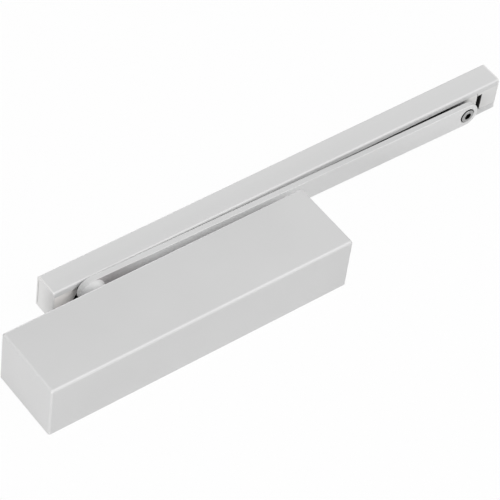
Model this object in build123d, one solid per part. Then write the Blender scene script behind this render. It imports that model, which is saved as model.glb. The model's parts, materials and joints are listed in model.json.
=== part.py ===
from build123d import *
import math
import os

# Slide arm door closer, lying on its mounting face as it comes out of its box.
# Millimetres. X runs along the closer, from the spindle's end towards the arm's free end.
# Y is the spindle's direction, from the body up to the slide channel.
# Z points out of the door, and z = 0 is the mounting face of the body and of the channel.
# The origin is the centre of the body's four fixing holes, on the mounting face.

# Cover of the closer body
cover_length = 276.0
cover_height = 65.0
cover_depth = 50.0
cover_wall = 1.5
cover_edge_radius = 2.4
cover_corner_radius = 1.6
cover_inner_radius = 0.9
hub_notch_clearance = 2.0

# Mounting plate behind the body
plate_thickness = 3.0
plate_clearance = 0.3
plate_corner_radius = 2.0
flange_height = 13.0
flange_width = 34.0
flange_thickness = 1.5
flange_corner_radius = 3.0
detent_radius = 2.0
detent_drop = 4.0
detent_height = 0.7
detent_clearance = 0.4
fixing_spacing_y = 32.0
fixing_radius = 3.0

# Closer housing: a die-cast block with one long bore
housing_head_wall = 15.7
housing_side_gap = 2.0
housing_front_gap = 1.5
housing_edge_radius = 3.0
bore_wall = 5.0
housing_screw_inset = 9.0
housing_screw_side = 6.0
housing_screw_radius = 2.5
screw_head_radius = 4.2
screw_head_height = 4.5
screw_head_clearance = 0.4
screw_hole_clearance = 0.25
screw_socket = 4.0
screw_socket_depth = 2.5
screw_end_recess = 0.3
thread_clearance = 0.1

# Spindle, pinion and rack
spindle_offset = -46.0
gear_module = 1.5
pinion_teeth = 12
pressure_angle = 25.0
backlash = 0.12
root_clearance = 0.25
pinion_half_width = 14.0
flank_points = 5
tooth_overcut = 0.4
journal_radius = 7.5
spindle_square = 11.0
spindle_end_play = 0.5
spindle_hole_spare = 2.0
opening_angle = 150.0

# Spindle bearings, nuts and seal
bearing_wall = 4.0
bearing_width = 5.5
bearing_play = 0.03
bearing_shoulder = 0.6
nut_bore_gap = 0.3
nut_pin_radius = 1.2
nut_pin_depth = 2.0
nut_pin_outset = 0.2
nut_socket = 10.0
nut_socket_depth = 1.6
seal_wall = 2.5
seal_width = 2.2
cap_thickness = 2.5

# Rack piston
piston_play = 0.04
piston_head = 13.0
window_clearance = 0.6
window_end_clearance = 1.2
start_gap = 3.0
ring_width = 2.4
ring_depth = 1.6
ring_play = 0.05
ring_side_play = 0.1
ring_inset = 2.5
valve_seat_radius = 5.0
valve_seat_length = 3.0
valve_seat_hole = 1.6
ball_radius = 2.6
ball_play = 0.3
ball_chamber = 6.0

# Closing spring and its adjustment
spring_wire = 5.0
spring_play = 0.8
spring_coils = 6.5
spring_wire_sides = 6
spring_length = 102.0
spring_plate_thickness = 5.0
spring_plate_play = 0.3
spring_spigot_length = 5.0
spring_spigot_play = 0.7
spring_spigot_chamfer = 0.8
spring_adjustment = 10.0
power_screw_radius = 4.0
power_screw_spare = 2.0
power_screw_play = 0.06
power_collar_radius = 7.5
power_collar_width = 3.0
power_collar_gap = 10.3
power_collar_play = 0.1
power_socket = 4.0
power_socket_depth = 6.0

# End plug of the bore
plug_thread_step = 1.0
plug_length = 14.0
plug_play = 0.04
plug_pin_radius = 1.6
plug_pin_circle = 11.5
plug_pin_depth = 4.0
plug_groove_inset = 2.0

# Regulating valves, let into the housing's front face
valve_head_radius = 4.0
valve_head_height = 3.0
valve_stem_radius = 2.5
valve_stem_length = 16.0
valve_tip_length = 4.0
valve_tip_radius = 0.5
valve_recess = 0.8
valve_play = 0.06
valve_slot_width = 1.0
valve_slot_depth = 1.4
valve_pair_spacing = 22.0
backcheck_offset = 30.0
backcheck_side = 6.0

# Arm
arm_length = 372.1
arm_width = 22.0
arm_thickness = 5.0
arm_rise = 15.7
arm_edge_radius = 0.5
hub_radius = 10.8
hub_nut_gap = 1.0
square_clearance = 0.05
arm_screw_radius = 3.0
arm_screw_length = 18.0
arm_screw_head_radius = 6.0
arm_screw_head_height = 3.0
arm_screw_socket = 4.0
arm_screw_socket_depth = 2.4
spindle_end_gap = 1.0

# Pivot at the arm's free end
pivot_head_radius = 6.2
pivot_head_height = 3.2
pivot_head_proud = 0.9
pivot_head_clearance = 0.7
pivot_socket = 6.0
pivot_socket_depth = 3.0
pivot_screw_radius = 3.9
pivot_screw_length = 12.0
pivot_screw_chamfer = 0.5
pivot_hole_spare = 0.5
pivot_pin_radius = 5.6
pivot_collar_radius = 7.5
pivot_collar_gap = 0.3
pin_play = 0.05
bush_wall = 1.5
pin_end_gap = 0.8

# Slide channel: base rail, clip-on front and ends
channel_length = 440.0
channel_height = 21.5
channel_depth = 32.0
channel_gap = 2.7
channel_edge_radius = 1.8
trim_wall = 1.5
trim_joint = 0.1
rail_lip = 1.8
rail_lip_setback = 0.3
slot_width = 20.4
slot_centre = 16.2
chamber_width = 25.2
chamber_height = 8.2
web_thickness = 1.6
rail_fixing_radius = 2.6
rail_fixing_inset = 20.0
end_cap_wall = 1.3
end_peg_length = 10.0
end_peg_play = 0.25
stop_length = 16.7
stop_play = 0.15
stop_lead_length = 5.0
stop_lead_width = 1.2
stop_nose_width = 2.2
stop_nose_play = 0.4
buffer_thickness = 1.0
ramp_length = 22.5
ramp_depth = 3.0
ramp_relief_angle = 32.0

# Slide block
block_lead = 12.6
block_tail = 15.8
block_recess = 0.2
block_side_play = 0.3
block_top_play = 0.5
block_end_radius = 1.5
block_lead_radius = 8.0
block_end_gap = 4.0

# How far a cut runs on past the piece it cuts
beyond = 1.0

# Sizes and places worked out from those above
housing_back = plate_thickness
housing_front = cover_depth - cover_wall - housing_front_gap
housing_depth = housing_front - housing_back
housing_half = cover_height / 2 - cover_wall - housing_side_gap
axis_z = housing_back + housing_depth / 2
bore_radius = housing_depth / 2 - bore_wall
spindle_x = spindle_offset
pitch_radius = gear_module * pinion_teeth / 2
tip_radius = pitch_radius + gear_module
root_radius = pitch_radius - gear_module * (1 + root_clearance)
tooth_pitch = math.pi * gear_module
stroke = pitch_radius * math.radians(opening_angle)
window_right = spindle_x + tip_radius + window_end_clearance
window_left = spindle_x - tip_radius - window_end_clearance - stroke
piston_left = window_left - piston_head
piston_right = window_right + piston_head
piston_radius = bore_radius - piston_play
bore_left = piston_left - start_gap
housing_left = bore_left - housing_head_wall
plug_radius = bore_radius + plug_thread_step
bearing_radius = journal_radius + bearing_play + bearing_wall
bearing_inner_y = bore_radius + bearing_shoulder
bearing_outer_y = bearing_inner_y + bearing_width
spring_plate_x = piston_right + spring_length
power_collar_x = spring_plate_x + spring_plate_thickness + power_collar_gap
plug_left = power_collar_x + power_collar_width
housing_right = plug_left + plug_length
plate_half_x = cover_length / 2 - cover_wall - plate_clearance
cover_top = cover_height / 2
arm_bottom = cover_top + arm_rise
arm_top = arm_bottom + arm_thickness
channel_bottom = arm_top + channel_gap
pivot_drop = axis_z - slot_centre
pivot_x = spindle_x + math.sqrt(arm_length ** 2 - pivot_drop ** 2)
arm_tilt = math.degrees(math.atan2(pivot_drop, pivot_x - spindle_x))
channel_left = pivot_x + block_tail + block_end_gap + stop_length + end_cap_wall - channel_length
channel_right = channel_left + channel_length
screw_y = housing_half - housing_screw_side
fixing_x = (housing_right + plate_half_x) / 2
fixings = [(x, y) for x in (-fixing_x, fixing_x)
           for y in (-fixing_spacing_y / 2, fixing_spacing_y / 2)]
screw_ends = (housing_left + housing_screw_inset, housing_right - housing_screw_inset)
housing_screw_places = [(x, y) for x in screw_ends for y in (-screw_y, screw_y)]
valve_places = {
    "closing_valve": (housing_left + housing_head_wall / 2, valve_pair_spacing / 2),
    "latching_valve": (housing_left + housing_head_wall / 2, -valve_pair_spacing / 2),
    "backcheck_valve": (spindle_x + backcheck_offset, -housing_half + backcheck_side),
}


def slab(x0, x1, y0, y1, z0, z1):
    """A block between two corners."""
    size = Box(x1 - x0, y1 - y0, z1 - z0)
    return Pos((x0 + x1) / 2, (y0 + y1) / 2, (z0 + z1) / 2) * size


def rod_x(radius, x0, x1, y, z):
    """A round bar along X."""
    bar = Cylinder(radius, x1 - x0, align=(Align.CENTER, Align.CENTER, Align.MIN))
    return Plane(origin=(x0, y, z), z_dir=(1, 0, 0)) * bar


def rod_y(radius, y0, y1, x, z):
    """A round bar along Y."""
    bar = Cylinder(radius, y1 - y0, align=(Align.CENTER, Align.CENTER, Align.MIN))
    return Plane(origin=(x, y0, z), z_dir=(0, 1, 0)) * bar


def rod_z(radius, z0, z1, x, y):
    """A round bar along Z."""
    bar = Cylinder(radius, z1 - z0, align=(Align.CENTER, Align.CENTER, Align.MIN))
    return Pos(x, y, z0) * bar


def run_x(section, x0, x1):
    """A section drawn in Y and Z, run along X."""
    return extrude(Plane(origin=(x0, 0, 0), x_dir=(0, 1, 0), z_dir=(1, 0, 0)) * section, x1 - x0)


def run_y(section, y0, y1):
    """A section drawn in X and Z, run along Y."""
    return extrude(Plane(origin=(0, y1, 0), x_dir=(1, 0, 0), z_dir=(0, -1, 0)) * section, y1 - y0)


def patch(a0, a1, b0, b1):
    """A rectangle between two corners of a section."""
    return Pos((a0 + a1) / 2, (b0 + b1) / 2) * Rectangle(a1 - a0, b1 - b0)


def hexagon(across_flats):
    """A hex socket's outline."""
    return RegularPolygon(across_flats / 2, 6, major_radius=False)


def make_cover():
    """The box shell over the body, open at the back, with a notch for the hub."""
    half_x = cover_length / 2
    outer = slab(-half_x, half_x, -cover_top, cover_top, 0, cover_depth)
    outer = fillet(outer.edges().filter_by(Axis.Z), cover_corner_radius)
    outer = fillet(outer.faces().sort_by(Axis.Z)[-1].edges(), cover_edge_radius)
    inner_x = half_x - cover_wall
    inner_y = cover_top - cover_wall
    inner = slab(-inner_x, inner_x, -inner_y, inner_y, -beyond, cover_depth - cover_wall)
    inner = fillet(inner.faces().sort_by(Axis.Z)[-1].edges(), cover_inner_radius)
    shell = outer - inner
    notch_radius = hub_radius + hub_notch_clearance
    notch = rod_y(notch_radius, inner_y - beyond, cover_top + beyond, spindle_x, axis_z)
    notch += slab(spindle_x - notch_radius, spindle_x + notch_radius,
                  inner_y - beyond, cover_top + beyond, -beyond, axis_z)
    shell -= notch
    for side in (-1, 1):
        x_wall = side * inner_x
        x_tip = side * (inner_x - detent_height)
        shell += rod_x(detent_radius, min(x_wall, x_tip), max(x_wall, x_tip), 0, flange_height - detent_drop)
    return shell


def make_mounting_plate():
    """The folded steel plate on the door, with an upright flange at each end for the cover."""
    half_x = plate_half_x
    half_y = cover_top - cover_wall - plate_clearance
    plate = slab(-half_x, half_x, -half_y, half_y, 0, plate_thickness)
    plate = fillet(plate.edges().filter_by(Axis.Z), plate_corner_radius)
    for side in (-1, 1):
        outer_x = side * half_x
        inner_x = side * (half_x - flange_thickness)
        low, high = min(outer_x, inner_x), max(outer_x, inner_x)
        flange = slab(low, high, -flange_width / 2, flange_width / 2, plate_thickness, flange_height)
        flange = fillet(flange.edges().filter_by(Axis.X).group_by(Axis.Z)[-1], flange_corner_radius)
        hole = rod_x(detent_radius + detent_clearance, low - beyond, high + beyond,
                     0, flange_height - detent_drop)
        plate += flange - hole
    for x, y in fixings:
        plate -= rod_z(fixing_radius, -beyond, plate_thickness + beyond, x, y)
    for x, y in housing_screw_places:
        plate -= rod_z(housing_screw_radius + screw_hole_clearance, -beyond, plate_thickness + beyond, x, y)
    return plate


def make_housing():
    """The cast cylinder: long bore, spindle bores, plug thread, screw and valve bores."""
    block = slab(housing_left, housing_right, -housing_half, housing_half, housing_back, housing_front)
    block = fillet(block.edges().filter_by(Axis.X), housing_edge_radius)
    block -= rod_x(bore_radius, bore_left, housing_right + beyond, 0, axis_z)
    block -= rod_x(plug_radius, plug_left, housing_right + beyond, 0, axis_z)
    block -= rod_y(bearing_radius, 0, housing_half + beyond, spindle_x, axis_z)
    block -= rod_y(bearing_radius, -housing_half - beyond, 0, spindle_x, axis_z)
    for x, y in housing_screw_places:
        block -= rod_z(housing_screw_radius + screw_hole_clearance, 0, housing_front + beyond, x, y)
        head_floor = housing_front - screw_head_height - screw_head_clearance
        block -= rod_z(screw_head_radius + screw_head_clearance, head_floor, housing_front + beyond, x, y)
    for x, y in valve_places.values():
        head_floor = housing_front - valve_recess - valve_head_height
        block -= rod_z(valve_head_radius + valve_play, head_floor, housing_front + beyond, x, y)
        stem_floor = head_floor - valve_stem_length - valve_play
        block -= rod_z(valve_stem_radius + valve_play, stem_floor, head_floor, x, y)
    return block


def make_housing_screws():
    """Four cap screws that hold the housing on the plate, as separate solids."""
    head_floor = housing_front - screw_head_height - screw_head_clearance
    head_top = head_floor + screw_head_height
    screws = []
    for x, y in housing_screw_places:
        screw = rod_z(housing_screw_radius, screw_end_recess, head_floor, x, y)
        screw += rod_z(screw_head_radius, head_floor, head_top, x, y)
        socket = extrude(hexagon(screw_socket), screw_socket_depth)
        screw -= Pos(x, y, head_top - screw_socket_depth) * socket
        screws.append(screw)
    return screws


def tooth_half_angle(radius):
    """Half the angle that a pinion tooth covers at a radius, from the involute's formula."""
    alpha = math.radians(pressure_angle)
    base = pitch_radius * math.cos(alpha)
    at_radius = math.acos(min(1.0, base / max(radius, base)))
    at_pitch = (tooth_pitch / 2 - backlash) / (2 * pitch_radius)
    return at_pitch + (math.tan(alpha) - alpha) - (math.tan(at_radius) - at_radius)


def tooth_gap():
    """The space between two pinion teeth, with involute flanks, centred on the section's +X."""
    alpha = math.radians(pressure_angle)
    base = pitch_radius * math.cos(alpha)
    outside = tip_radius + tooth_overcut
    radii = [base + (outside - base) * i / flank_points for i in range(flank_points + 1)]
    half_pitch = math.pi / pinion_teeth
    upper = []
    lower = []
    for radius in radii:
        angle = half_pitch - tooth_half_angle(radius)
        upper.append((radius * math.cos(angle), radius * math.sin(angle)))
        lower.append((radius * math.cos(angle), -radius * math.sin(angle)))
    root_angle = half_pitch - tooth_half_angle(base)
    root_high = (root_radius * math.cos(root_angle), root_radius * math.sin(root_angle))
    root_low = (root_radius * math.cos(root_angle), -root_radius * math.sin(root_angle))
    edges = [
        Spline(*upper),
        Line(upper[-1], lower[-1]),
        Spline(*lower),
        Line(lower[0], root_low),
        ThreePointArc(root_low, (root_radius, 0), root_high),
        Line(root_high, upper[0]),
    ]
    return make_face(edges)


def make_spindle():
    """The spindle: pinion cut on the shaft, two journals and the arm's square end."""
    pinion = Circle(tip_radius)
    for i in range(pinion_teeth):
        pinion -= Rot(0, 0, 90 + 360 * (i + 0.5) / pinion_teeth) * tooth_gap()
    spindle = run_y(Pos(spindle_x, axis_z) * pinion, -pinion_half_width, pinion_half_width)
    lower_end = -housing_half + cap_thickness + spindle_end_play
    spindle += rod_y(journal_radius, lower_end, housing_half, spindle_x, axis_z)
    square = Pos(spindle_x, axis_z) * Rot(0, 0, -arm_tilt) * Rectangle(spindle_square, spindle_square)
    square_shaft = run_y(square, housing_half, arm_bottom - spindle_end_gap)
    round_shaft = rod_y(journal_radius, housing_half, arm_bottom - spindle_end_gap, spindle_x, axis_z)
    spindle += square_shaft & round_shaft
    hole_bottom = arm_top - arm_screw_length - spindle_hole_spare
    spindle -= rod_y(arm_screw_radius + thread_clearance, hole_bottom, arm_bottom, spindle_x, axis_z)
    return spindle


def make_bearing(side):
    """A plain bearing ring in the housing's wall, above or below the piston."""
    low, high = sorted((side * bearing_inner_y, side * bearing_outer_y))
    ring = rod_y(bearing_radius, low, high, spindle_x, axis_z)
    return ring - rod_y(journal_radius + bearing_play, low - beyond, high + beyond, spindle_x, axis_z)


def make_upper_nut():
    """The ring nut that closes the upper spindle bore, with a seat for the lip seal."""
    nut = rod_y(bearing_radius, bearing_outer_y, housing_half, spindle_x, axis_z)
    nut -= rod_y(journal_radius + nut_bore_gap, bearing_outer_y - beyond, housing_half + beyond,
                 spindle_x, axis_z)
    nut -= rod_y(journal_radius + seal_wall, bearing_outer_y, bearing_outer_y + seal_width,
                 spindle_x, axis_z)
    pin_circle = (bearing_radius + journal_radius) / 2 + nut_pin_outset
    for angle in (45, 135, 225, 315):
        x = spindle_x + pin_circle * math.cos(math.radians(angle))
        z = axis_z + pin_circle * math.sin(math.radians(angle))
        nut -= rod_y(nut_pin_radius, housing_half - nut_pin_depth, housing_half + beyond, x, z)
    return nut


def make_lower_nut():
    """The blind nut that closes the lower spindle bore."""
    nut = rod_y(bearing_radius, -housing_half, -bearing_outer_y, spindle_x, axis_z)
    nut -= rod_y(journal_radius + nut_bore_gap, -housing_half + cap_thickness, -bearing_outer_y + beyond,
                 spindle_x, axis_z)
    socket = Pos(spindle_x, axis_z) * hexagon(nut_socket)
    nut -= run_y(socket, -housing_half - beyond, -housing_half + nut_socket_depth)
    return nut


def make_spindle_seal():
    """The lip seal round the spindle, under the upper nut's edge."""
    seal = rod_y(journal_radius + seal_wall, bearing_outer_y, bearing_outer_y + seal_width,
                 spindle_x, axis_z)
    return seal - rod_y(journal_radius + ring_play, bearing_outer_y - beyond,
                        bearing_outer_y + seal_width + beyond, spindle_x, axis_z)


def make_piston():
    """The rack piston: two heads joined by cheeks, a window, and teeth along its front cheek."""
    piston = rod_x(piston_radius, piston_left, piston_right, 0, axis_z)
    window_low = axis_z - tip_radius - window_clearance
    rack_tips = axis_z + pitch_radius - gear_module
    piston -= slab(window_left, window_right, -bore_radius, bore_radius, window_low, rack_tips)
    slope = math.tan(math.radians(pressure_angle))
    depth = gear_module * (2 + root_clearance)
    half_mouth = tooth_pitch / 4 + gear_module * slope + backlash / 2
    half_root = half_mouth - depth * slope
    gap = Polygon((-half_mouth, 0), (half_mouth, 0), (half_root, depth), (-half_root, depth), align=None)
    first = math.ceil((window_left + half_mouth - spindle_x) / tooth_pitch)
    last = math.floor((window_right - half_mouth - spindle_x) / tooth_pitch)
    for i in range(first, last + 1):
        place = Pos(spindle_x + i * tooth_pitch, rack_tips)
        piston -= run_y(place * gap, -bore_radius, bore_radius)
    for x in ring_places():
        groove = rod_x(bore_radius + beyond, x, x + ring_width, 0, axis_z)
        groove -= rod_x(piston_radius - ring_depth, x - beyond, x + ring_width + beyond, 0, axis_z)
        piston -= groove
    chamber = valve_seat_length + ball_chamber
    piston -= rod_x(valve_seat_radius, piston_left - beyond, piston_left + chamber, 0, axis_z)
    piston -= rod_x(valve_seat_hole, piston_left, window_left + beyond, 0, axis_z)
    return piston


def ring_places():
    """Where each head's ring groove starts."""
    return (piston_left + ring_inset, piston_right - ring_inset - ring_width)


def make_piston_seals():
    """One ring in each head's groove, as two solids."""
    rings = []
    for x in ring_places():
        ring = rod_x(bore_radius - ring_play, x + ring_side_play, x + ring_width - ring_side_play, 0, axis_z)
        ring -= rod_x(piston_radius - ring_depth + ring_play, x - beyond, x + ring_width + beyond, 0, axis_z)
        rings.append(ring)
    return rings


def make_check_valve_seat():
    """The bored seat at the mouth of the piston's left head."""
    seat = rod_x(valve_seat_radius, piston_left, piston_left + valve_seat_length, 0, axis_z)
    return seat - rod_x(valve_seat_hole, piston_left - beyond, piston_left + valve_seat_length + beyond,
                        0, axis_z)


def make_check_valve_ball():
    """The ball behind the seat."""
    x = piston_left + valve_seat_length + ball_play + ball_radius
    z = axis_z - valve_seat_radius + ball_play + ball_radius
    return Pos(x, 0, z) * Sphere(ball_radius)


def spring_radius():
    """The mean radius of the closing spring."""
    return bore_radius - spring_play - spring_wire / 2


def make_main_spring():
    """The closing spring: wire wound on a helix, its ends ground flat."""
    radius = spring_radius()
    pitch = spring_length / spring_coils
    helix = Helix(pitch=pitch, height=spring_length, radius=radius)
    section = Plane(origin=helix @ 0, z_dir=helix % 0) * RegularPolygon(spring_wire / 2, spring_wire_sides)
    coil = sweep(section, path=helix, is_frenet=True)
    coil = Plane(origin=(piston_right, 0, axis_z), z_dir=(1, 0, 0)) * coil
    room = rod_x(bore_radius, piston_right, spring_plate_x, 0, axis_z)
    return coil & room


def make_spring_plate():
    """The plate at the spring's far end, with a spigot inside the last coil."""
    plate_radius = bore_radius - spring_plate_play
    plate = rod_x(plate_radius, spring_plate_x, spring_plate_x + spring_plate_thickness, 0, axis_z)
    spigot_radius = spring_radius() - spring_wire / 2 - spring_spigot_play
    plate += rod_x(spigot_radius, spring_plate_x - spring_spigot_length, spring_plate_x, 0, axis_z)
    plate = chamfer(plate.faces().sort_by(Axis.X)[0].edges(), spring_spigot_chamfer)
    hole_radius = power_screw_radius + power_screw_play
    return plate - rod_x(hole_radius, spring_plate_x - spring_spigot_length - beyond,
                         spring_plate_x + spring_plate_thickness + beyond, 0, axis_z)


def make_power_screw():
    """The screw that draws the spring plate along, with its collar behind the plug."""
    left = spring_plate_x - spring_adjustment - spring_spigot_length - power_screw_spare
    screw = rod_x(power_screw_radius, left, housing_right, 0, axis_z)
    screw += rod_x(power_collar_radius, power_collar_x, plug_left - power_collar_play, 0, axis_z)
    socket = Plane(origin=(housing_right - power_socket_depth, 0, axis_z), z_dir=(1, 0, 0))
    return screw - socket * extrude(hexagon(power_socket), power_socket_depth + beyond)


def make_end_plug():
    """The plug screwed into the bore's right end, with holes for a pin spanner."""
    plug = rod_x(plug_radius - plug_play, plug_left, housing_right, 0, axis_z)
    hole_radius = power_screw_radius + power_screw_play
    plug -= rod_x(hole_radius, plug_left - beyond, housing_right + beyond, 0, axis_z)
    for side in (-1, 1):
        plug -= rod_x(plug_pin_radius, housing_right - plug_pin_depth, housing_right + beyond,
                      side * plug_pin_circle, axis_z)
    start = plug_left + plug_groove_inset
    groove = rod_x(plug_radius + beyond, start, start + ring_width, 0, axis_z)
    groove -= rod_x(plug_radius - ring_depth, start - beyond, start + ring_width + beyond, 0, axis_z)
    return plug - groove


def make_plug_seal():
    """The ring in the end plug's groove."""
    start = plug_left + plug_groove_inset
    ring = rod_x(plug_radius - plug_play, start + ring_side_play, start + ring_width - ring_side_play,
                 0, axis_z)
    return ring - rod_x(plug_radius - ring_depth + ring_play, start - beyond, start + ring_width + beyond,
                        0, axis_z)


def make_valve(x, y):
    """A regulating screw: slotted head, stem and needle tip."""
    head_top = housing_front - valve_recess
    head_floor = head_top - valve_head_height
    tip_start = head_floor - valve_stem_length + valve_tip_length
    valve = rod_z(valve_head_radius, head_floor, head_top, x, y)
    valve += rod_z(valve_stem_radius, tip_start, head_floor, x, y)
    cone = Cone(valve_tip_radius, valve_stem_radius, valve_tip_length,
                align=(Align.CENTER, Align.CENTER, Align.MIN))
    valve += Pos(x, y, tip_start - valve_tip_length) * cone
    slot_half = valve_slot_width / 2
    reach = valve_head_radius + beyond
    return valve - slab(x - reach, x + reach, y - slot_half, y + slot_half,
                        head_top - valve_slot_depth, head_top + beyond)


def along_arm(shape):
    """Turns a shape drawn level, from the spindle's axis along +X, to the arm's slope."""
    return Plane(origin=(spindle_x, 0, axis_z)) * Rot(0, arm_tilt, 0) * shape


def make_arm():
    """The flat bar with round ends, countersunk over the spindle, counterbored at the pivot."""
    outline = Pos(arm_length / 2, 0) * SlotCenterToCenter(arm_length, arm_width)
    bar = run_y(outline, arm_bottom, arm_top)
    long_edges = bar.faces().sort_by(Axis.Y)[0].edges() + bar.faces().sort_by(Axis.Y)[-1].edges()
    bar = fillet(long_edges, arm_edge_radius)
    hole_radius = arm_screw_radius + thread_clearance
    sink = Cone(hole_radius, arm_screw_head_radius + thread_clearance, arm_screw_head_height,
                align=(Align.CENTER, Align.CENTER, Align.MAX))
    bar -= Plane(origin=(0, arm_top, 0), z_dir=(0, 1, 0)) * sink
    bar -= rod_y(hole_radius, arm_bottom - beyond, arm_top, 0, 0)
    pocket = pivot_head_height - pivot_head_proud
    bar -= rod_y(pivot_head_radius + pivot_head_clearance, arm_bottom - beyond, arm_bottom + pocket,
                 arm_length, 0)
    bar -= rod_y(pivot_screw_radius + thread_clearance, arm_bottom, arm_top + beyond, arm_length, 0)
    return along_arm(bar)


def make_arm_hub():
    """The boss under the arm, broached square for the spindle."""
    hub = rod_y(hub_radius, housing_half + hub_nut_gap, arm_bottom, 0, 0)
    side = spindle_square + 2 * square_clearance
    broach = run_y(Rectangle(side, side), housing_half, arm_bottom + beyond)
    corner = rod_y(journal_radius + square_clearance, housing_half, arm_bottom + beyond, 0, 0)
    return along_arm(hub - (broach & corner))


def make_arm_screw():
    """The countersunk screw through the arm into the spindle."""
    head = Cone(arm_screw_radius, arm_screw_head_radius, arm_screw_head_height,
                align=(Align.CENTER, Align.CENTER, Align.MAX))
    screw = Plane(origin=(0, arm_top, 0), z_dir=(0, 1, 0)) * head
    screw += rod_y(arm_screw_radius, arm_top - arm_screw_length, arm_top - arm_screw_head_height, 0, 0)
    screw -= run_y(hexagon(arm_screw_socket), arm_top - arm_screw_socket_depth, arm_top + beyond)
    return along_arm(screw)


def make_pivot_screw():
    """The low cap screw up through the arm's free end."""
    head_face = arm_bottom - pivot_head_proud
    screw = rod_y(pivot_head_radius, head_face, head_face + pivot_head_height, arm_length, 0)
    screw = chamfer(screw.faces().sort_by(Axis.Y)[0].edges(), pivot_screw_chamfer)
    screw += rod_y(pivot_screw_radius, head_face + pivot_head_height,
                   head_face + pivot_screw_length, arm_length, 0)
    screw -= run_y(Pos(arm_length, 0) * hexagon(pivot_socket), head_face - beyond,
                   head_face + pivot_socket_depth)
    return along_arm(screw)


def block_bottom():
    """Underside of the slide block."""
    return channel_bottom + block_recess


def block_top():
    """Top of the slide block, under the channel's web."""
    return channel_bottom + rail_lip + chamber_height - block_top_play


def make_pivot_pin():
    """The pin on the arm that turns in the slide block, with a collar to hold the block off the arm."""
    pin = rod_y(pivot_collar_radius, arm_top, block_bottom() - pivot_collar_gap, arm_length, 0)
    pin += rod_y(pivot_pin_radius, arm_top, block_top() - pin_end_gap, arm_length, 0)
    pin -= rod_y(pivot_screw_radius + thread_clearance, arm_top - beyond,
                 arm_bottom - pivot_head_proud + pivot_screw_length + pivot_hole_spare, arm_length, 0)
    return along_arm(pin)


def block_bar(half_width, low):
    """One of the slide block's two bars, rounded more at the leading end."""
    bar = slab(pivot_x - block_lead, pivot_x + block_tail, low, block_top(),
               slot_centre - half_width, slot_centre + half_width)
    bar = fillet(bar.edges().filter_by(Axis.Y).group_by(Axis.X)[0], block_lead_radius)
    return fillet(bar.edges().filter_by(Axis.Y).group_by(Axis.X)[-1], block_end_radius)


def make_slide_block():
    """The block in the channel: a neck between the lips and shoulders above them."""
    lip_top = channel_bottom + rail_lip + trim_wall
    block = block_bar(slot_width / 2 - block_side_play, block_bottom())
    block += block_bar(chamber_width / 2 - block_side_play, lip_top + block_side_play)
    hole = pivot_pin_radius + pin_play + bush_wall
    return block - rod_y(hole, block_bottom() - beyond, block_top() + beyond, pivot_x, slot_centre)


def make_slide_bush():
    """The bush in the slide block that the pin turns in."""
    outer = pivot_pin_radius + pin_play + bush_wall
    bush = rod_y(outer, block_bottom(), block_top(), pivot_x, slot_centre)
    return bush - rod_y(pivot_pin_radius + pin_play, block_bottom() - beyond, block_top() + beyond,
                        pivot_x, slot_centre)


def rail_section():
    """The base rail's section: back wall, slot lips, web and inner front wall."""
    low = channel_bottom
    chamber_back = slot_centre - chamber_width / 2
    chamber_front = slot_centre + chamber_width / 2
    web_low = low + rail_lip + chamber_height
    front = channel_depth - trim_wall - trim_joint
    section = patch(low, low + channel_height - trim_wall - trim_joint, 0, chamber_back)
    section += patch(low, low + rail_lip, 0, slot_centre - slot_width / 2)
    section += patch(web_low, web_low + web_thickness, 0, front)
    section += patch(low + trim_wall + trim_joint, web_low + web_thickness, chamber_front, front)
    lip_low = low + trim_wall + trim_joint
    section += patch(lip_low, lip_low + rail_lip, slot_centre + slot_width / 2 + rail_lip_setback, front)
    return section


def outer_section():
    """The channel's outline, with its two front edges rounded."""
    block = patch(channel_bottom, channel_bottom + channel_height, 0, channel_depth)
    return fillet(block.vertices().group_by(Axis.Y)[-1], channel_edge_radius)


def make_channel():
    """The base rail with its fixing holes through the back wall."""
    rail = run_x(rail_section(), channel_left + end_cap_wall, channel_right - end_cap_wall)
    y = rail_fixing_height()
    for x in (channel_left + rail_fixing_inset, channel_right - rail_fixing_inset):
        rail -= rod_z(rail_fixing_radius, -beyond, slot_centre - chamber_width / 2 + beyond, x, y)
    return rail


def rail_fixing_height():
    """Height of the fixing holes: the middle of the upper chamber."""
    web_top = channel_bottom + rail_lip + chamber_height + web_thickness
    return (web_top + channel_bottom + channel_height - trim_wall) / 2


def make_channel_cover():
    """The clip-on front: a front wall with a lower return to the slot and an upper one to the back."""
    low = channel_bottom
    high = low + channel_height
    hollow = patch(low + trim_wall, high - trim_wall, -beyond, channel_depth - trim_wall)
    hollow += patch(low - beyond, low + trim_wall, -beyond, slot_centre + slot_width / 2)
    section = outer_section() - hollow
    return run_x(section, channel_left + end_cap_wall, channel_right - end_cap_wall)


def make_channel_cap(side):
    """A thin end cap with a peg in the upper chamber."""
    if side < 0:
        x0, x1 = channel_left, channel_left + end_cap_wall
        peg = (x1, x1 + end_peg_length)
    else:
        x0, x1 = channel_right - end_cap_wall, channel_right
        peg = (x0 - end_peg_length, x0)
    cap = run_x(outer_section(), x0, x1)
    low = channel_bottom + rail_lip + chamber_height + web_thickness + end_peg_play
    high = channel_bottom + channel_height - trim_wall - trim_joint - end_peg_play
    back = slot_centre - chamber_width / 2 + end_peg_play
    front = channel_depth - trim_wall - trim_joint - end_peg_play
    return cap + slab(peg[0], peg[1], low, high, back, front)


def stop_section(low):
    """A section that fills the slot and the chamber above it, down to a height."""
    neck = slot_width / 2 - stop_play
    shoulder = chamber_width / 2 - stop_play
    top = channel_bottom + rail_lip + chamber_height - stop_play
    shelf = channel_bottom + rail_lip + trim_wall + trim_joint + stop_play
    section = patch(low, top, slot_centre - neck, slot_centre + neck)
    return section + patch(shelf, top, slot_centre - shoulder, slot_centre + shoulder)


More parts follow.
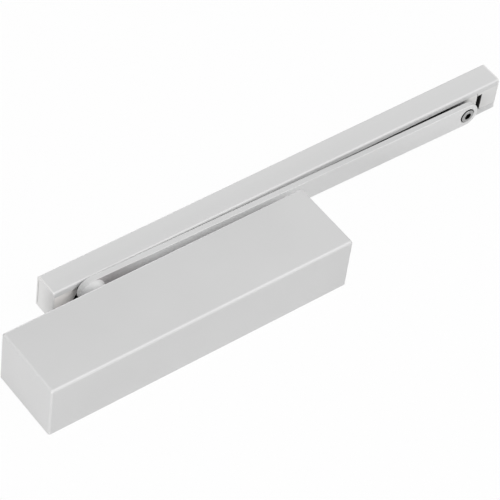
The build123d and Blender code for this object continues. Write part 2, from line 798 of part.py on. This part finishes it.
def make_stop_right():
    """The flush insert at the channel's right end, with a nose beside its buffer and a lead-in behind."""
    x1 = channel_right - end_cap_wall
    x0 = x1 - stop_length + buffer_thickness
    stop = run_x(stop_section(channel_bottom), x0, x1)
    back = slot_centre - slot_width / 2
    lead = Polygon((x0 - beyond, back), (x0 + stop_lead_length, back), (x0, back + stop_lead_width),
                   (x0 - beyond, back + stop_lead_width), align=None)
    stop -= run_y(lead, channel_bottom - beyond, channel_bottom + rail_lip + trim_wall)
    front = slot_centre + slot_width / 2 - stop_play
    tip = x0 - buffer_thickness - block_end_gap + stop_nose_play
    return stop + slab(tip, x0, channel_bottom, channel_bottom + rail_lip, front - stop_nose_width, front)


def make_stop_buffer():
    """The rubber pad on the right insert's end, which the slide block meets."""
    x0 = channel_right - end_cap_wall - stop_length
    back = slot_centre - slot_width / 2 + stop_lead_width
    front = slot_centre + slot_width / 2 - stop_play - stop_nose_width - stop_play
    top = channel_bottom + rail_lip + chamber_height - stop_play
    return slab(x0, x0 + buffer_thickness, channel_bottom, top, back, front)


def make_stop_left():
    """The insert at the channel's left end, its face sloping up into the slot, relieved at the back."""
    x0 = channel_left + end_cap_wall
    x1 = x0 + ramp_length
    insert = run_x(stop_section(channel_bottom), x0, x1)
    wedge = Polygon((0, 0), (ramp_length + beyond, 0), (ramp_length + beyond, ramp_depth), align=None)
    insert -= extrude(Pos(x0, channel_bottom, -beyond) * wedge, channel_depth + 2 * beyond)
    set_back = (slot_centre + beyond) * math.tan(math.radians(ramp_relief_angle))
    relief = Polygon((x1, slot_centre), (x1 - set_back, -beyond), (x1 + beyond, -beyond),
                     (x1 + beyond, slot_centre), align=None)
    return insert - run_y(relief, channel_bottom - beyond, channel_bottom + channel_height)


def build():
    """Makes every piece, by the name of its node."""
    parts = {
        "cover": make_cover(),
        "mounting_plate": make_mounting_plate(),
        "closer_housing": make_housing(),
        "housing_screws": make_housing_screws(),
        "pinion_spindle": make_spindle(),
        "lower_bearing": make_bearing(-1),
        "upper_bearing": make_bearing(1),
        "lower_bearing_nut": make_lower_nut(),
        "upper_bearing_nut": make_upper_nut(),
        "spindle_seal": make_spindle_seal(),
        "rack_piston": make_piston(),
        "piston_seals": make_piston_seals(),
        "check_valve_seat": make_check_valve_seat(),
        "check_valve_ball": make_check_valve_ball(),
        "main_spring": make_main_spring(),
        "spring_plate": make_spring_plate(),
        "power_screw": make_power_screw(),
        "end_plug": make_end_plug(),
        "plug_seal": make_plug_seal(),
        "arm": make_arm(),
        "arm_hub": make_arm_hub(),
        "arm_screw": make_arm_screw(),
        "pivot_screw": make_pivot_screw(),
        "pivot_pin": make_pivot_pin(),
        "slide_block": make_slide_block(),
        "slide_bush": make_slide_bush(),
        "channel": make_channel(),
        "channel_cover": make_channel_cover(),
        "channel_cap_left": make_channel_cap(-1),
        "channel_cap_right": make_channel_cap(1),
        "channel_stop_left": make_stop_left(),
        "channel_stop_right": make_stop_right(),
        "stop_buffer": make_stop_buffer(),
    }
    for name, (x, y) in valve_places.items():
        parts[name] = make_valve(x, y)
    return parts


def main():
    """Writes one STEP file for each piece."""
    os.makedirs("parts", exist_ok=True)
    for name, shape in build().items():
        if isinstance(shape, list):
            shape = Compound(children=shape)
        export_step(shape, f"parts/{name}.step")
    print(f"stroke {stroke:.3f} pitch radius {pitch_radius:.3f} tilt {arm_tilt:.3f}")
    print(f"pivot x {pivot_x:.3f} channel from x {channel_left:.3f} and y {channel_bottom:.3f}")
    print(f"rail fixings y {rail_fixing_height():.3f} axis z {axis_z:.3f}")


main()
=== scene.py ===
import bmesh
import bpy
import json
import math
from mathutils import Euler, Matrix, Vector


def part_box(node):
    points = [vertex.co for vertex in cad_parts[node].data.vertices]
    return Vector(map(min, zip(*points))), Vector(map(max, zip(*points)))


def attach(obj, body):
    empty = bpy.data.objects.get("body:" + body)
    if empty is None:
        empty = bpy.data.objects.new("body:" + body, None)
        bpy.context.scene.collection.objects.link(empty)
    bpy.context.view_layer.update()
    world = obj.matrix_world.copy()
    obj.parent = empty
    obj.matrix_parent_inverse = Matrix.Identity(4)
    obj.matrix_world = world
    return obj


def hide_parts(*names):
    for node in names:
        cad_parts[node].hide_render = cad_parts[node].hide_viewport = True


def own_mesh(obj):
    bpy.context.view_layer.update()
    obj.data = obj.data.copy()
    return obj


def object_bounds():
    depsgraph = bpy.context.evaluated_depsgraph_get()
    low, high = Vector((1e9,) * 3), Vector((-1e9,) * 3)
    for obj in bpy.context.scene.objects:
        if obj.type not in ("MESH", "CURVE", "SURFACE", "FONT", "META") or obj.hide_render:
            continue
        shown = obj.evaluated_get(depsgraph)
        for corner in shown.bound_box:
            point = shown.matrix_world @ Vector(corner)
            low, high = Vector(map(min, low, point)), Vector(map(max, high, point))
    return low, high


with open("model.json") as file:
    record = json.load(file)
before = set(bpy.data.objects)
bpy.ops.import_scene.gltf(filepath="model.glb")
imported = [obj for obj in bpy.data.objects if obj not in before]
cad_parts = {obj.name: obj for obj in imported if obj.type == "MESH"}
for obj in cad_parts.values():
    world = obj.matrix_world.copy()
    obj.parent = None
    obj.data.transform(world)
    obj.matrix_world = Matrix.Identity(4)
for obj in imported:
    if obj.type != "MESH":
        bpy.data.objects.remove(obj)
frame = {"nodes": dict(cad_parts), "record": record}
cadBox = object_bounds()
nodes = frame["nodes"]
record = frame["record"]
scene = bpy.context.scene
scene.view_settings.view_transform = "Standard"
print("frame loaded:", len(nodes), "pieces")

# shared by all finishes: how fine their two patterns are, and where noise mostly lies
patternLook = {"cloudDetail": 2.0, "grainDetail": 4.0, "noiseLow": 0.3, "noiseHigh": 0.7}


def addNode(tree, kind, **values):
    # a shader node with some of its sockets set
    node = tree.nodes.new(kind)
    for name, value in values.items():
        node.inputs[name.replace("_", " ")].default_value = value
    return node


def surfacePoint(tree, stretch):
    # the piece's own coordinates in metres, drawn out along its grain
    coordinate = tree.nodes.new("ShaderNodeTexCoord")
    mapping = addNode(tree, "ShaderNodeMapping", Scale=stretch)
    tree.links.new(coordinate.outputs["Object"], mapping.inputs["Vector"])
    return mapping.outputs["Vector"]


def noiseValue(tree, place, scale, detail):
    noise = addNode(tree, "ShaderNodeTexNoise", Scale=scale, Detail=detail)
    tree.links.new(place, noise.inputs["Vector"])
    return noise.outputs["Fac"]


def spreadValue(tree, source, low, high):
    # the part of the noise that is mostly met is spread over the range
    spread = addNode(
        tree, "ShaderNodeMapRange", From_Min=patternLook["noiseLow"], From_Max=patternLook["noiseHigh"],
        To_Min=low, To_Max=high,
    )
    tree.links.new(source, spread.inputs["Value"])
    return spread.outputs["Result"]


def larger(tree, first, second):
    step = tree.nodes.new("ShaderNodeMath")
    step.operation = "MAXIMUM"
    tree.links.new(first, step.inputs[0])
    tree.links.new(second, step.inputs[1])
    return step.outputs["Value"]


def scaled(tree, source, share):
    step = tree.nodes.new("ShaderNodeMath")
    step.operation = "MULTIPLY"
    step.inputs[1].default_value = share
    tree.links.new(source, step.inputs[0])
    return step.outputs["Value"]


def seenRay(tree):
    # 1 on rays from the camera, from a mirror and through glass, 0 on the rest
    rays = tree.nodes.new("ShaderNodeLightPath")
    glossy = larger(tree, rays.outputs["Is Camera Ray"], rays.outputs["Is Glossy Ray"])
    return larger(tree, glossy, rays.outputs["Is Transmission Ray"])


def vectorMath(tree, kind, source, value=(0, 0, 0)):
    step = tree.nodes.new("ShaderNodeVectorMath")
    step.operation = kind
    step.inputs[1].default_value = value
    tree.links.new(source, step.inputs[0])
    return step.outputs["Vector"]


def insideBox(tree, low, high, fade):
    # 1 between two corners of the piece's own space, falling to 0 over each axis's fade around them
    centre, half = (low + high) / 2, (high - low) / 2
    coordinate = tree.nodes.new("ShaderNodeTexCoord")
    offset = vectorMath(tree, "SUBTRACT", coordinate.outputs["Object"], centre)
    beyond = vectorMath(tree, "SUBTRACT", vectorMath(tree, "ABSOLUTE", offset), half)
    axes = tree.nodes.new("ShaderNodeSeparateXYZ")
    tree.links.new(vectorMath(tree, "DIVIDE", beyond, fade), axes.inputs["Vector"])
    farthest = larger(tree, larger(tree, axes.outputs["X"], axes.outputs["Y"]), axes.outputs["Z"])
    share = addNode(tree, "ShaderNodeMapRange", From_Min=0, From_Max=1, To_Min=1, To_Max=0)
    tree.links.new(farthest, share.inputs["Value"])
    return share.outputs["Result"]


def mixColour(tree, share, none, full):
    # each of the two is a plain colour or the output of another node
    mix = tree.nodes.new("ShaderNodeMix")
    mix.data_type = "RGBA"
    tree.links.new(share, mix.inputs["Factor"])
    for name, colour in (("A", none), ("B", full)):
        if isinstance(colour, tuple):
            mix.inputs[name].default_value = (*colour, 1)
        else:
            tree.links.new(colour, mix.inputs[name])
    return mix.outputs["Result"]


def mixShader(tree, share, none, full):
    mix = tree.nodes.new("ShaderNodeMixShader")
    tree.links.new(share, mix.inputs["Fac"])
    tree.links.new(none, mix.inputs[1])
    tree.links.new(full, mix.inputs[2])
    return mix.outputs["Shader"]


def makeFinish(name, look, layers=()):
    # one shader with a slow drift of colour, a fine drift of gloss and a bumped grain
    material = bpy.data.materials.new(name)
    material.use_nodes = True
    tree = material.node_tree
    shader = tree.nodes["Principled BSDF"]
    shader.inputs["Metallic"].default_value = look["metallic"]
    shader.inputs["Specular IOR Level"].default_value = look["specular"]
    place = surfacePoint(tree, look["stretch"])
    cloud = noiseValue(tree, place, look["cloudScale"], patternLook["cloudDetail"])
    grain = noiseValue(tree, place, look["grainScale"], patternLook["grainDetail"])

    drift = spreadValue(tree, cloud, 0, 1)
    tint = mixColour(tree, drift, look["deep"], look["pale"])
    # each layer has its own two colours inside its own box
    for layer in layers:
        share = insideBox(tree, layer["low"], layer["high"], layer["fade"])
        tint = mixColour(tree, share, tint, mixColour(tree, drift, layer["deep"], layer["pale"]))
    tree.links.new(tint, shader.inputs["Base Color"])

    gloss = spreadValue(tree, grain, *look["roughness"])
    tree.links.new(gloss, shader.inputs["Roughness"])

    bump = addNode(tree, "ShaderNodeBump", Strength=look["bump"], Distance=look["depth"])
    tree.links.new(grain, bump.inputs["Height"])
    tree.links.new(bump.outputs["Normal"], shader.inputs["Normal"])
    return material


def grey(level):
    return (level, level, level)


even = (1, 1, 1)
alongX = (0.02, 1, 1)
alongY = (1, 0.02, 1)

# coats on the cover, the arm and the slide channel
coat = {
    "metallic": 0.0, "specular": 0.4, "stretch": even, "grainScale": 1600, "bump": 0.25, "depth": 0.00004,
}
armCoat = {**coat, "roughness": (0.32, 0.44), "cloudScale": 20}
coatLooks = {
    "cover_paint": {
        **coat, "pale": grey(0.566), "deep": grey(0.547), "roughness": (0.34, 0.46), "cloudScale": 14,
    },
    "arm_paint": {**armCoat, "pale": grey(0.702), "deep": grey(0.677)},
    # a darker copy of arm_paint for the arm itself, whose underside gets the paler colour back: painted
    # shade and light
    "arm_front": {**armCoat, "pale": grey(0.608), "deep": grey(0.586)},
    "channel_finish": {
        **coat, "pale": grey(0.602), "deep": grey(0.583), "roughness": (0.32, 0.46), "stretch": alongX,
        "cloudScale": 60, "grainScale": 2400, "bump": 0.20, "depth": 0.00003,
    },
}

# moulded ends, the slide block and the seals
moulding = {
    "metallic": 0.0, "specular": 0.35, "roughness": (0.48, 0.60), "stretch": even, "cloudScale": 60,
    "grainScale": 2200, "bump": 0.3, "depth": 0.00004,
}
mouldLooks = {
    "end_plastic": {**moulding, "pale": (0.690, 0.686, 0.682), "deep": (0.667, 0.664, 0.660)},
    "insert_plastic": {**moulding, "pale": (0.830, 0.805, 0.785), "deep": (0.800, 0.776, 0.757)},
    "block_plastic": {
        **moulding, "pale": (0.715, 0.712, 0.703), "deep": (0.688, 0.685, 0.675), "specular": 0.45,
        "roughness": (0.30, 0.38), "cloudScale": 80, "grainScale": 1200, "bump": 0.15, "depth": 0.00003,
    },
    "seal_rubber": {
        **moulding, "pale": grey(0.030), "deep": grey(0.018), "specular": 0.4, "roughness": (0.50, 0.68),
        "cloudScale": 120, "grainScale": 2600, "depth": 0.00003,
    },
}

# bare and plated metal
metal = {"metallic": 1.0, "specular": 0.5, "stretch": even, "bump": 0.2, "depth": 0.00003}
metalLooks = {
    "screw_steel": {
        **metal, "pale": (0.60, 0.60, 0.61), "deep": (0.50, 0.50, 0.51), "roughness": (0.24, 0.36),
        "cloudScale": 300, "grainScale": 2200,
    },
    "dark_steel": {
        **metal, "pale": grey(0.38), "deep": grey(0.31), "roughness": (0.30, 0.42), "cloudScale": 300,
        "grainScale": 2200,
    },
    "shaft_steel": {
        **metal, "pale": (0.46, 0.46, 0.47), "deep": (0.36, 0.36, 0.37), "roughness": (0.20, 0.34),
        "stretch": alongY, "cloudScale": 120, "grainScale": 2600, "bump": 0.15, "depth": 0.00002,
    },
    "plate_steel": {
        **metal, "pale": (0.62, 0.64, 0.66), "deep": (0.54, 0.55, 0.56), "roughness": (0.30, 0.44),
        "stretch": alongX, "cloudScale": 60, "grainScale": 1800, "bump": 0.15, "depth": 0.00002,
    },
    "cast_alloy": {
        **metal, "pale": (0.50, 0.51, 0.52), "deep": (0.40, 0.41, 0.42), "roughness": (0.42, 0.62),
        "cloudScale": 90, "grainScale": 900, "bump": 0.5, "depth": 0.00008,
    },
    "spring_steel": {
        **metal, "pale": (0.11, 0.115, 0.125), "deep": (0.07, 0.07, 0.075), "roughness": (0.30, 0.44),
        "cloudScale": 150, "grainScale": 1500, "bump": 0.25,
    },
    "bearing_bronze": {
        **metal, "pale": (0.56, 0.38, 0.16), "deep": (0.46, 0.30, 0.12), "roughness": (0.28, 0.42),
        "stretch": alongY, "cloudScale": 200, "grainScale": 2000,
    },
    "valve_brass": {
        **metal, "pale": (0.64, 0.48, 0.20), "deep": (0.56, 0.41, 0.16), "roughness": (0.22, 0.34),
        "cloudScale": 260, "grainScale": 2000, "bump": 0.15, "depth": 0.00002,
    },
}
looks = {**coatLooks, **mouldLooks, **metalLooks}
plainFinishes = {}


def plainFinish(name):
    # made once, for the first piece that asks for it
    if name not in plainFinishes:
        plainFinishes[name] = makeFinish(name, looks[name])
    return plainFinishes[name]


def corners(name):
    low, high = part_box(name)
    return Vector(low), Vector(high)


# painted shade inside the rail: a dark coat along the block's path, darker than the lamps leave the slot
paintedShade = {"pale": grey(0.065), "deep": grey(0.055), "fade": (0.0002, 0.0002, 0.0002)}
railPaintedShade = {**paintedShade, "lip": 0.0018, "play": 0.0007}


def railLayer(look):
    # the block's section, with its play, along the whole rail
    (railLow, railHigh), (low, high) = corners("channel"), corners("slide_block")
    low = Vector((railLow.x, railLow.y + look["lip"], low.z - look["play"]))
    high = Vector((railHigh.x, high.y + look["play"], high.z + look["play"]))
    return {**look, "low": low, "high": high}


# painted shade: the same dark coat on the block, and a darker one in the pivot screw's socket and round
# its head
blockPaintedShade = {**paintedShade, "face": 0.0003}
socketPaintedShade = {**paintedShade, "pale": grey(0.013), "deep": grey(0.011), "face": 0.0004}


def innerLayer(name, look):
    # all of the piece but the face that looks out of the rail or the arm
    low, high = corners(name)
    low.y += look["face"]
    return {**look, "low": low, "high": high}


# the same painted shade over the block's leading end, where the slot's dark line runs out
leadPaintedShade = {**paintedShade, "fade": (0.0070, 0.0002, 0.0002), "reach": 0.0125}


def leadLayer(look):
    low, high = corners("slide_block")
    high = Vector((low.x + look["reach"], high.y, high.z))
    return {**look, "low": low, "high": high}


# painted light: the arm's underside is paler than its front, to make up for light the lamps don't bring
# to it
paintedLightUnderside = {"pale": grey(0.702), "deep": grey(0.677), "fade": (0.001, 0.0003, 0.0003)}


def underLayer(look):
    low, high = corners("arm")
    return {**look, "low": low, "high": Vector((high.x, low.y, high.z))}


# painted shadow under the arm, from its near end to a little past the hub, darker where the lamps
# leave too little shadow
hubPaintedShadow = {
    "pale": (0.420, 0.404, 0.408), "deep": (0.398, 0.382, 0.386), "fade": (0.038, 0.0003, 0.001),
    "reach": 0.018,
}


def paintedShadowLayer(look):
    (hubLow, hubHigh), (low, high) = corners("arm_hub"), corners("arm")
    high = Vector(((hubLow.x + hubHigh.x) / 2 + look["reach"], low.y, high.z))
    return {**look, "low": low, "high": high}


# the dark seam where an end cap meets the rail's upper wall, which is drawn and not cut
capSeam = {
    "pale": grey(0.125), "deep": grey(0.115), "fade": (0.0002, 0.0001, 0.001), "wall": 0.0018,
    "width": 0.0003, "ends": 0.004,
}


def seamLayer(look):
    # one line along both caps
    low, high = corners("channel_cap_left")[0], corners("channel_cap_right")[1]
    low = Vector((low.x, high.y - look["wall"] - look["width"], low.z + look["ends"]))
    high = Vector((high.x, high.y - look["wall"], high.z - look["ends"]))
    return {**look, "low": low, "high": high}


seamedCap = makeFinish("seamedCap", looks["end_plastic"], [seamLayer(capSeam)])
# the rail's finish, with painted shade inside its slot
greasedRail = makeFinish("greasedRail", looks["channel_finish"], [railLayer(railPaintedShade)])
# the arm's finish, with painted light on its underside and a painted shadow beside the hub
filmedArm = makeFinish("filmedArm", looks["arm_front"], [underLayer(paintedLightUnderside), paintedShadowLayer(hubPaintedShadow)])
blockLayers = [innerLayer("slide_block", blockPaintedShade), leadLayer(leadPaintedShade)]
# the block's finish, with painted shade on all but its outer face and over its leading end
greasedBlock = makeFinish("greasedBlock", looks["block_plastic"], blockLayers)
# the pivot screw's finish, with painted shade below its face
pivotScrew = makeFinish("pivotScrew", looks["dark_steel"], [innerLayer("pivot_screw", socketPaintedShade)])
ownFinishes = {
    "channel_cap_left": seamedCap,
    "channel_cap_right": seamedCap,
    "channel": greasedRail,
    "arm": filmedArm,
    "slide_block": greasedBlock,
    "channel_stop_left": plainFinish("insert_plastic"),
    "pivot_screw": pivotScrew,
}
for part in record["subparts"]:
    name = part["node"]
    slots = nodes[name].data.materials
    slots.clear()
    slots.append(ownFinishes[name] if name in ownFinishes else plainFinish(part["material_slot"]))
print("finishes on the pieces:", len({piece.data.materials[0] for piece in nodes.values()}))

# the closing spring, halved at its middle: one half on the piston's side, the other on the spring plate's
# side, both on the closer body
springLook = {"node": "main_spring", "body": "closer_body", "weld": 1e-6}
springHalves = {
    "springPistonHalf": {"side": 1, "joint": "piston_slide"},
    "springPlateHalf": {"side": -1, "joint": "spring_plate_slide"},
}


def makeSpringHalf(name, half, look):
    low, high = corners(look["node"])
    middle = (low + high) / 2
    shape = bmesh.new()
    shape.from_mesh(nodes[look["node"]].data)
    bmesh.ops.remove_doubles(shape, verts=shape.verts, dist=look["weld"])
    # what lies on this side of the middle goes, and the wire's cut end is closed
    whole = shape.verts[:] + shape.edges[:] + shape.faces[:]
    outwards = (half["side"], 0, 0)
    cut = bmesh.ops.bisect_plane(shape, geom=whole, plane_co=middle, plane_no=outwards, clear_outer=True)
    rim = [part for part in cut["geom_cut"] if isinstance(part, bmesh.types.BMEdge)]
    bmesh.ops.holes_fill(shape, edges=rim)
    mesh = bpy.data.meshes.new(name)
    shape.to_mesh(mesh)
    shape.free()
    piece = bpy.data.objects.new(name, mesh)
    scene.collection.objects.link(piece)
    mesh.materials.append(plainFinish("spring_steel"))
    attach(piece, look["body"])
    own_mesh(piece)
    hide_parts(look["node"])


for name, half in springHalves.items():
    makeSpringHalf(name, half, springLook)
print("spring halves made:", len(springHalves))

# the floor that the closer lies on: it bounces light, and the white room shows through it, so that it
# hides nothing of the channel when the arm swings below it; the shadow on it is too faint to see
floorLook = {"size": 8.0, "gap": 0.0004, "pale": 0.51, "deep": 0.49, "clear": 0.98, "cloudScale": 3.0}


def makeFloor(look):
    shape = bmesh.new()
    bmesh.ops.create_grid(shape, x_segments=1, y_segments=1, size=look["size"] / 2)
    mesh = bpy.data.meshes.new("studioFloor")
    shape.to_mesh(mesh)
    shape.free()
    floor = bpy.data.objects.new("studioFloor", mesh)
    floor.location = (0, 0, -look["gap"])
    scene.collection.objects.link(floor)

    material = bpy.data.materials.new("floorPaper")
    material.use_nodes = True
    tree = material.node_tree
    paper = tree.nodes["Principled BSDF"]
    paper.inputs["Specular IOR Level"].default_value = 0.0
    place = surfacePoint(tree, even)
    cloud = noiseValue(tree, place, look["cloudScale"], patternLook["cloudDetail"])
    tint = mixColour(tree, cloud, grey(look["deep"]), grey(look["pale"]))
    tree.links.new(tint, paper.inputs["Base Color"])
    # nearly clear to what is seen, clear to shadow rays, paper to the light that bounces
    clear = tree.nodes.new("ShaderNodeBsdfTransparent")
    shadow = tree.nodes.new("ShaderNodeLightPath").outputs["Is Shadow Ray"]
    share = larger(tree, scaled(tree, seenRay(tree), look["clear"]), shadow)
    surface = mixShader(tree, share, paper.outputs["BSDF"], clear.outputs["BSDF"])
    tree.links.new(surface, tree.nodes["Material Output"].inputs["Surface"])
    floor.data.materials.append(material)


makeFloor(floorLook)

# a pale room, which is white to what is seen
worldLook = {"strength": 0.23, "seen": 1.0}


def makeWorld(look):
    world = bpy.data.worlds.new("paleRoom")
    scene.world = world
    world.use_nodes = True
    tree = world.node_tree
    tree.nodes.clear()
    output = tree.nodes.new("ShaderNodeOutputWorld")
    room = addNode(tree, "ShaderNodeBackground", Color=(1, 1, 1, 1), Strength=look["strength"])
    seen = addNode(tree, "ShaderNodeBackground", Color=(1, 1, 1, 1), Strength=look["seen"])
    surface = mixShader(tree, seenRay(tree), room.outputs["Background"], seen.outputs["Background"])
    tree.links.new(surface, output.inputs["Surface"])


makeWorld(worldLook)

# large soft lamps above, on the left and behind, at one distance from the object's middle
lampLooks = {
    "topLamp": {"direction": (0.0, -0.55, 0.83), "distance": 2.4, "size": 0.9, "power": 32.0},
    "rightLamp": {"direction": (0.457, -0.47, 0.755), "distance": 2.4, "size": 0.9, "power": 20.0},
    "leftLamp": {"direction": (-0.93, -0.30, 0.15), "distance": 2.4, "size": 0.9, "power": 37.5},
    "backLamp": {"direction": (0.25, 0.95, 0.16), "distance": 2.4, "size": 0.9, "power": 24.0},
}


def makeLamp(name, look, aim):
    data = bpy.data.lights.new(name, "AREA")
    data.shape = "SQUARE"
    data.size = look["size"]
    data.energy = look["power"]
    lamp = bpy.data.objects.new(name, data)
    scene.collection.objects.link(lamp)
    direction = Vector(look["direction"]).normalized()
    lamp.location = aim + direction * look["distance"]
    lamp.rotation_euler = direction.to_track_quat("Z", "Y").to_euler()


objectCentre = (Vector(cadBox[0]) + Vector(cadBox[1])) / 2
for name, look in lampLooks.items():
    makeLamp(name, look, objectCentre)
print("light and floor set")

# the camera at the photograph's viewing angle: metres, degrees, and millimetres for lens and sensor
cameraLook = {
    "aim": (0.07977, 0.01792, 0.02584),
    "azimuth": -43.023,
    "elevation": 47.989,
    "roll": 8.534,
    "distance": 2.0443,
    "lens": 191.91,
    "sensor": 36.0,
}


def makeCamera(look):
    data = bpy.data.cameras.new("photoCamera")
    data.lens = look["lens"]
    data.sensor_width = look["sensor"]
    camera = bpy.data.objects.new("photoCamera", data)
    scene.collection.objects.link(camera)
    level = Euler((math.radians(90 - look["elevation"]), 0, math.radians(look["azimuth"]))).to_matrix()
    turned = level @ Matrix.Rotation(math.radians(look["roll"]), 3, "Z")
    place = Vector(look["aim"]) + turned.col[2] * look["distance"]
    camera.matrix_world = Matrix.Translation(place) @ turned.to_4x4()
    scene.camera = camera


makeCamera(cameraLook)
print("camera set")
